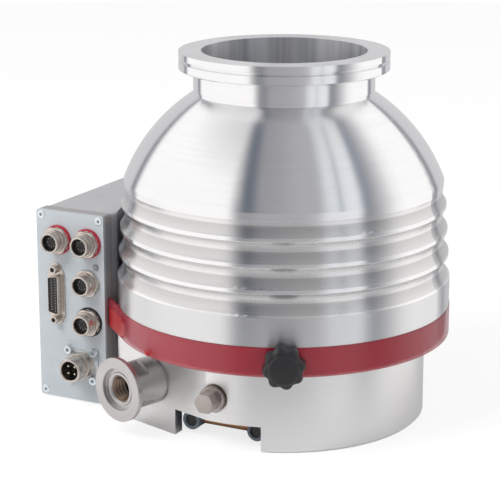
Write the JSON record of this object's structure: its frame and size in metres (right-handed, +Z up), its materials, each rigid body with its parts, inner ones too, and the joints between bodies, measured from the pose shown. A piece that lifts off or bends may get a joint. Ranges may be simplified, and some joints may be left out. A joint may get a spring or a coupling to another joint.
{
  "type": "turbomolecular pump",
  "caption": "High-vacuum turbomolecular pump with bell-shaped finned housing, round inlet flange, side fore-vacuum port, star-knob vent valve and drive box with sockets.",
  "frame": {"origin": "on the pump axis, in the plane of the face that the base stands on", "axes": "+Z up along the pump axis to the inlet, -Y the way the connectors of the drive box look, -X the side of the drive box"},
  "size_m": [0.2524, 0.2159, 0.2293],
  "materials": {
    "turned_aluminium": "turned, bright, with fine tool marks",
    "satin_aluminium": "satin, fine machined",
    "crimson_plastic": "translucent, smooth",
    "red_plastic": "smooth",
    "blade_aluminium": "milled, satin",
    "shaft_steel": "ground",
    "magnet": "sintered, coated",
    "winding": "resin cast",
    "rubber_black": "matt",
    "felt": "felt",
    "zinc_screw": "zinc plated",
    "port_steel": "turned stainless",
    "plug_steel": "nickel plated",
    "washer_copper": "dull",
    "copper": "drawn copper",
    "socket_blue": "zinc plated",
    "stopper_black": "matt",
    "knob_black": "fine grained",
    "panel_grey": "fine powder coat, light blue grey",
    "frame_grey": "fine powder coat, mauve grey",
    "case_grey": "powder coat, grey",
    "board_green": "solder mask",
    "connector_nickel": "nickel plated",
    "insert_black": "moulded",
    "ring_red": "anodised red",
    "lens_clear": "clear diffuse",
    "gold_pin": "gold plated"
  },
  "bodies": {
    "root": {"housing": "turned_aluminium", "base_body": "satin_aluminium", "housing_seal": "rubber_black", "housing_screws": "zinc_screw", "trim_band": "crimson_plastic", "band_clips": "red_plastic", "bearing_star": "satin_aluminium", "spacer_rings": "satin_aluminium", "magnet_bearing_stator": "magnet", "drag_stator": "satin_aluminium", "motor_stator": "winding", "bearing_outer_ring": "shaft_steel", "bearing_cage": "stopper_black", "fluid_felt": "felt", "bottom_cover": "satin_aluminium", "cover_screws": "zinc_screw", "fore_vacuum_flange": "port_steel", "fore_vacuum_seal": "rubber_black", "purge_plug": "plug_steel", "purge_washer": "washer_copper", "cooling_sockets": "socket_blue", "cooling_stoppers": "stopper_black", "cooling_pipe": "copper", "front_panel": "panel_grey", "panel_screws": "zinc_screw", "front_frame": "frame_grey", "drive_case": "case_grey", "drive_feedthrough": "stopper_black", "case_screws": "zinc_screw", "circuit_board": "board_green", "board_posts": "connector_nickel", "round_sockets": "connector_nickel", "socket_inserts": "insert_black", "socket_rings": "ring_red", "socket_gasket": "rubber_black", "service_socket": "connector_nickel", "jack_screws": "connector_nickel", "status_lens": "lens_clear", "power_socket": "connector_nickel", "power_pins": "gold_pin", "power_screws": "zinc_screw", "stator_disc_1": "blade_aluminium", "stator_disc_2": "blade_aluminium", "stator_disc_3": "blade_aluminium", "stator_disc_4": "blade_aluminium", "stator_disc_5": "blade_aluminium"},
    "rotor": {"rotor_shaft": "shaft_steel", "magnet_bearing_rotor": "magnet", "drag_rotor": "insert_black", "motor_magnet": "magnet", "bearing_inner_ring": "shaft_steel", "rotor_disc_1": "blade_aluminium", "rotor_disc_2": "blade_aluminium", "rotor_disc_3": "blade_aluminium", "rotor_disc_4": "blade_aluminium", "rotor_disc_5": "blade_aluminium"},
    "vent_carrier": {"vent_seal": "rubber_black"},
    "vent_handle": {"vent_knob": "knob_black", "vent_screw": "plug_steel"}
  },
  "joints": [
    {"name": "rotor_spin", "type": "hinge", "parent": "root", "child": "rotor", "pos_m": [0, 0, 0], "axis": [0, 0, 1], "continuous": true},
    {"name": "vent_lift", "type": "slide", "parent": "root", "child": "vent_carrier", "axis": [0.4493, -0.8934, 0], "range_m": [0, 0.000907]},
    {"name": "vent_turn", "type": "hinge", "parent": "vent_carrier", "child": "vent_handle", "pos_m": [0.04785, -0.09514, 0.062], "axis": [0.4493, -0.8934, 0], "range_deg": [0, 380]}
  ],
  "couplings": [
    {"joint": "vent_turn", "follows": "vent_lift", "rad_per_m": 6927.4}
  ]
}
